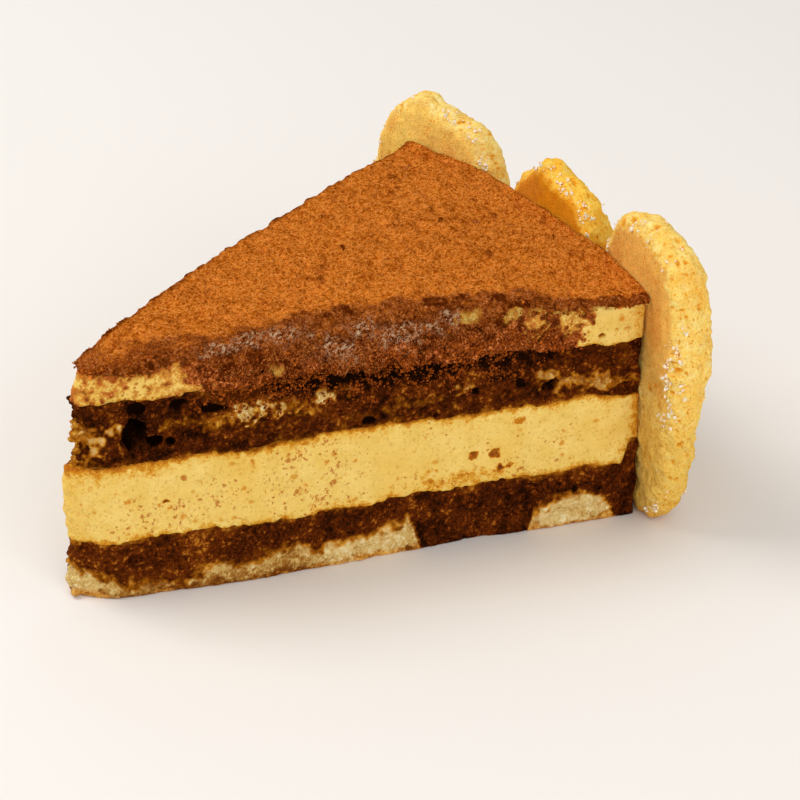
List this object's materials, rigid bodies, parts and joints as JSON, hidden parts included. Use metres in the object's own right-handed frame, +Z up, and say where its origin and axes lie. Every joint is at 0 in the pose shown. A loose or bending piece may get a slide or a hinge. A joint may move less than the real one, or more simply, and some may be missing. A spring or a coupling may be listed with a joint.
{
  "type": "tiramisu slice",
  "caption": "Wedge of tiramisu cake: coffee-soaked sponge and mascarpone cream in layers, cocoa powder on top, and sponge fingers standing against its round outer wall.",
  "frame": {"origin": "middle of the bounding box, at the bottom", "axes": "+Z up, +X along the middle of the wedge from its tip to the sponge fingers"},
  "size_m": [0.1342, 0.112, 0.0683],
  "materials": {
    "soaked_sponge": "matt open crumb, soaked dark brown with coffee, pale where the coffee didn't reach",
    "mascarpone_cream": "smooth pale yellow, satin, with fine bubbles",
    "cocoa": "matt powder",
    "finger_biscuit": "matt, finely porous, with sugar crystals"
  },
  "bodies": {
    "root": {"sponge_base": "soaked_sponge", "cream_middle": "mascarpone_cream", "sponge_upper": "soaked_sponge", "cream_top": "mascarpone_cream", "cocoa_powder": "cocoa", "ladyfinger_front": "finger_biscuit", "ladyfinger_middle": "finger_biscuit", "ladyfinger_back": "finger_biscuit"}
  },
  "joints": []
}
